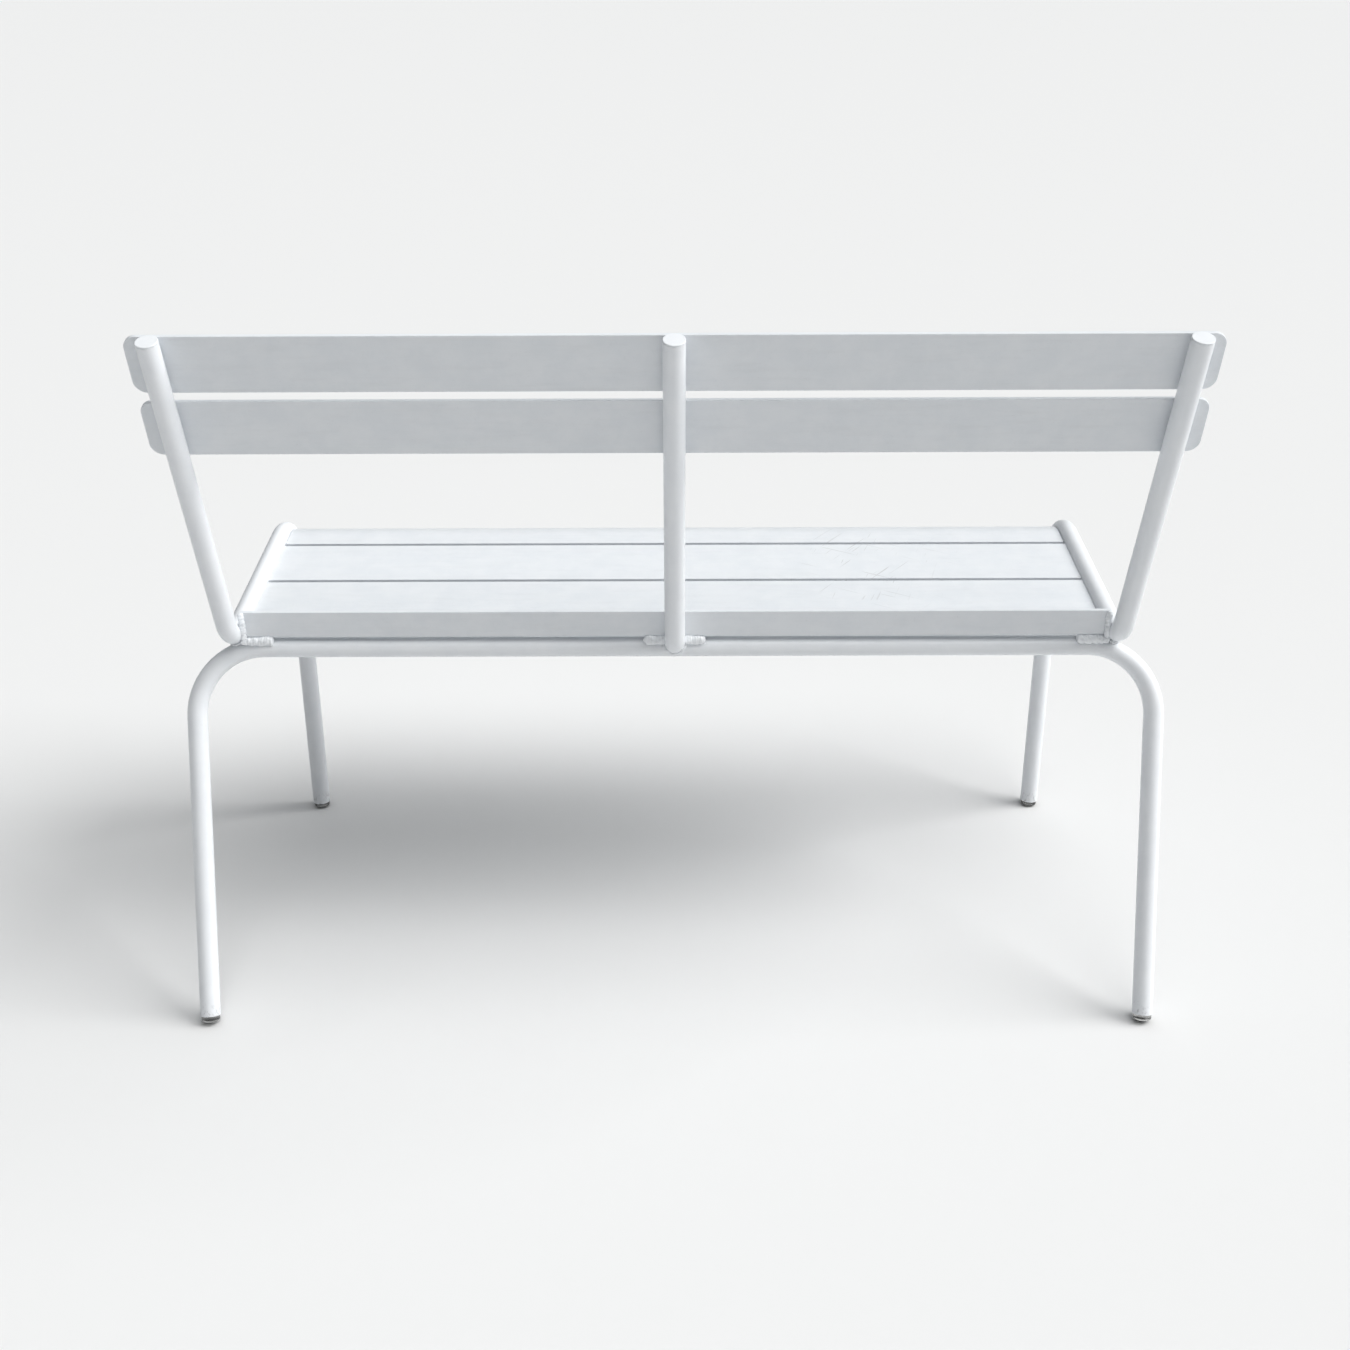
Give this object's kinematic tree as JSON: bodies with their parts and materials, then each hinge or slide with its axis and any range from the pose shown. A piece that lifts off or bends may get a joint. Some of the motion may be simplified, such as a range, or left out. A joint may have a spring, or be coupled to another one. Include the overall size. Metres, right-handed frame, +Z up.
{
  "type": "garden bench",
  "caption": "White garden bench of bent round tube with flat back slats and seat slats, an upturned rear seat lip, a centre back post, splayed rear legs and clear plastic glides.",
  "frame": {"origin": "on the floor, at the middle of the bench's bounding box", "axes": "+Z up, the seat faces -Y, +X runs along the bench towards the sitter's left hand"},
  "size_m": [1.2246, 0.565, 0.8671],
  "materials": {
    "tube_coat": "satin white powder coat on aluminium tube",
    "slat_coat": "satin white powder coat on aluminium flat slats",
    "weld_coat": "weld beads under the same powder coat",
    "glide_plastic": "clear smoky plastic"
  },
  "bodies": {
    "root": {"left_side_frame": "tube_coat", "right_side_frame": "tube_coat", "rear_leg_frame": "tube_coat", "centre_post": "tube_coat", "back_slat_upper": "slat_coat", "back_slat_lower": "slat_coat", "seat_slat_rear": "slat_coat", "seat_slat_middle": "slat_coat", "seat_slat_front": "slat_coat", "seat_bearer": "slat_coat", "post_cap_left": "tube_coat", "post_cap_centre": "tube_coat", "post_cap_right": "tube_coat", "glide_front_left": "glide_plastic", "glide_front_right": "glide_plastic", "glide_rear_left": "glide_plastic", "glide_rear_right": "glide_plastic", "weld_post_base_left": "weld_coat", "weld_post_base_right": "weld_coat", "weld_lip_end_left": "weld_coat", "weld_lip_end_right": "weld_coat", "weld_lip_seam_left": "weld_coat", "weld_lip_seam_right": "weld_coat", "weld_lip_seam_centre": "weld_coat", "weld_centre_foot": "weld_coat", "weld_seat_left": "weld_coat", "weld_seat_right": "weld_coat", "weld_back_left": "weld_coat", "weld_back_centre": "weld_coat", "weld_back_right": "weld_coat"}
  },
  "joints": []
}
